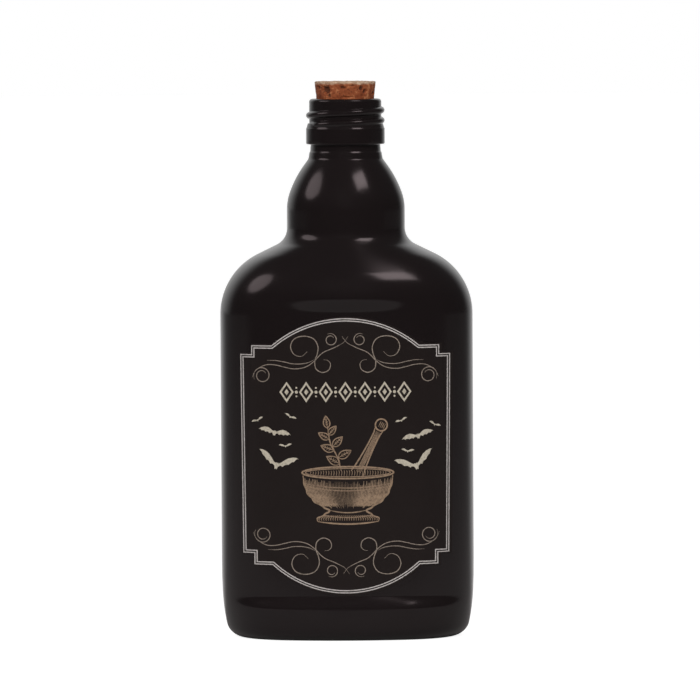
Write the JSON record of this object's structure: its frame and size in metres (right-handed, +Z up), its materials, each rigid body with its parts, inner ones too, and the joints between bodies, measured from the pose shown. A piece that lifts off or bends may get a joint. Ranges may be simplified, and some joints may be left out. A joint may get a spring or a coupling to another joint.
{
  "type": "poison bottle",
  "caption": "Flat-sided black glass bottle with a round bulb under its neck, a screw finish, a tapered cork that pulls out, and a shaped front label.",
  "frame": {"origin": "middle of the base, on the surface that the bottle stands on", "axes": "+Z up through the neck; the label faces -Y; +X is to the right of someone facing the label"},
  "size_m": [0.0896, 0.062, 0.1969],
  "materials": {
    "black_glass": "opaque black glass, lacquered, satin gloss",
    "cork": "natural cork with dark pores",
    "label_paper": "black paper with a satin face and pale printed lines"
  },
  "bodies": {
    "bottle": {"glass_bottle": "black_glass", "front_label": "label_paper"},
    "cork": {"cork_stopper": "cork"}
  },
  "joints": [
    {"name": "cork_pull", "type": "slide", "parent": "bottle", "child": "cork", "axis": [0, 0, 1], "range_m": [0, 0.03]}
  ]
}
